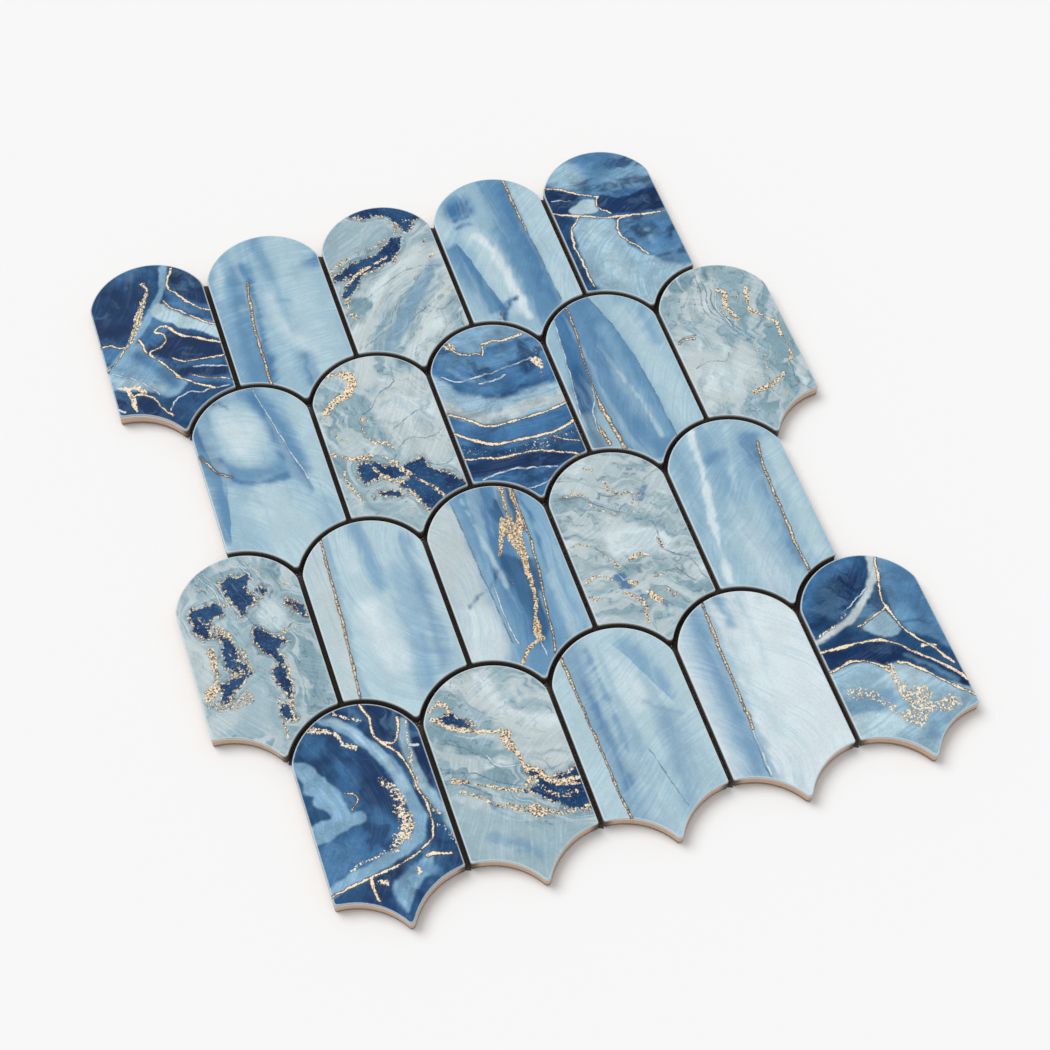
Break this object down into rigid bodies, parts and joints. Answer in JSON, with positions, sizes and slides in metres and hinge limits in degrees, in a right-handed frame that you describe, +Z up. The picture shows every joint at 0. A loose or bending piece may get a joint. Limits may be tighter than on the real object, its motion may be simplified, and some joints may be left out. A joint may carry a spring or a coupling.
{
  "type": "fish scale mosaic tile sheet",
  "caption": "Mosaic sheet of glazed fish scale tiles in staggered rows on a net, each with a round head, straight flanks and a pointed tail between hollow bays.",
  "frame": {"origin": "centre of the sheet's outline, on the underside of the net, which lies on the floor", "axes": "+Z up out of the glazed faces, +Y along the tiles towards their round heads, +X along the rows"},
  "size_m": [0.273, 0.3146, 0.006],
  "materials": {
    "glaze_navy_agate": "satin",
    "glaze_sky_wash": "satin",
    "glaze_teal_marble": "satin",
    "net_glass_fibre": "matte"
  },
  "bodies": {
    "root": {"scale_tile_1_1": "glaze_navy_agate", "scale_tile_1_2": "glaze_sky_wash", "scale_tile_1_3": "glaze_teal_marble", "scale_tile_1_4": "glaze_sky_wash", "scale_tile_1_5": "glaze_navy_agate", "scale_tile_2_1": "glaze_sky_wash", "scale_tile_2_2": "glaze_teal_marble", "scale_tile_2_3": "glaze_navy_agate", "scale_tile_2_4": "glaze_sky_wash", "scale_tile_2_5": "glaze_teal_marble", "scale_tile_3_1": "glaze_teal_marble", "scale_tile_3_2": "glaze_sky_wash", "scale_tile_3_3": "glaze_sky_wash", "scale_tile_3_4": "glaze_teal_marble", "scale_tile_3_5": "glaze_sky_wash", "scale_tile_4_1": "glaze_navy_agate", "scale_tile_4_2": "glaze_teal_marble", "scale_tile_4_3": "glaze_sky_wash", "scale_tile_4_4": "glaze_sky_wash", "scale_tile_4_5": "glaze_navy_agate", "backing_net": "net_glass_fibre"}
  },
  "joints": []
}
